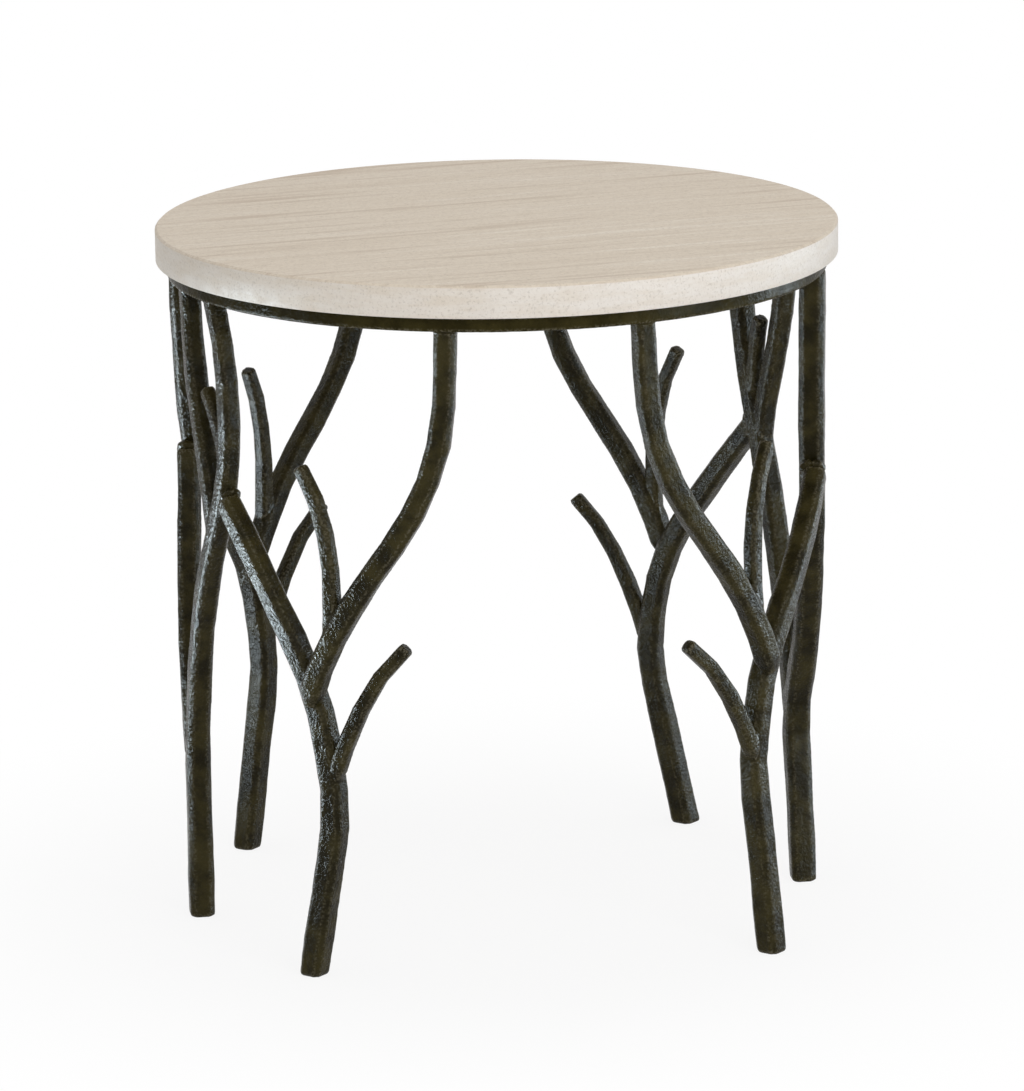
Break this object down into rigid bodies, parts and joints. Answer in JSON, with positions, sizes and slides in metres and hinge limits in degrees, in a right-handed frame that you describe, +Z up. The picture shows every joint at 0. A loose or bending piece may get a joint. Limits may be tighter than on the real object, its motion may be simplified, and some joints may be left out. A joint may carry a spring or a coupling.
{
  "type": "round end table",
  "caption": "Round end table with a plain stone slab on an iron ring, carried by forged iron legs that branch like saplings, with free twigs.",
  "frame": {"origin": "on the floor under the centre of the slab", "axes": "+Z up; the two middle trees stand on +X and -X; the side in the picture faces -Y"},
  "size_m": [0.6099, 0.61, 0.63],
  "materials": {
    "stone": "satin",
    "forged_iron": "satin",
    "zinc_steel": "satin",
    "brass": "satin"
  },
  "bodies": {
    "root": {"stone_top": "stone", "top_ring": "forged_iron", "top_tabs": "forged_iron", "front_left_trunk": "forged_iron", "front_left_ring_branch": "forged_iron", "front_left_upper_twig": "forged_iron", "front_left_lower_twig": "forged_iron", "front_right_trunk": "forged_iron", "front_right_ring_branch": "forged_iron", "front_right_upper_twig": "forged_iron", "front_right_lower_twig": "forged_iron", "back_left_trunk": "forged_iron", "back_left_ring_branch": "forged_iron", "back_left_upper_twig": "forged_iron", "back_left_lower_twig": "forged_iron", "back_right_trunk": "forged_iron", "back_right_ring_branch": "forged_iron", "back_right_upper_twig": "forged_iron", "back_right_lower_twig": "forged_iron", "left_trunk": "forged_iron", "left_second_stem": "forged_iron", "left_ring_branch": "forged_iron", "left_twig": "forged_iron", "right_trunk": "forged_iron", "right_second_stem": "forged_iron", "right_ring_branch": "forged_iron", "right_twig": "forged_iron", "tab_screws": "zinc_steel", "screw_inserts": "brass"}
  },
  "joints": []
}
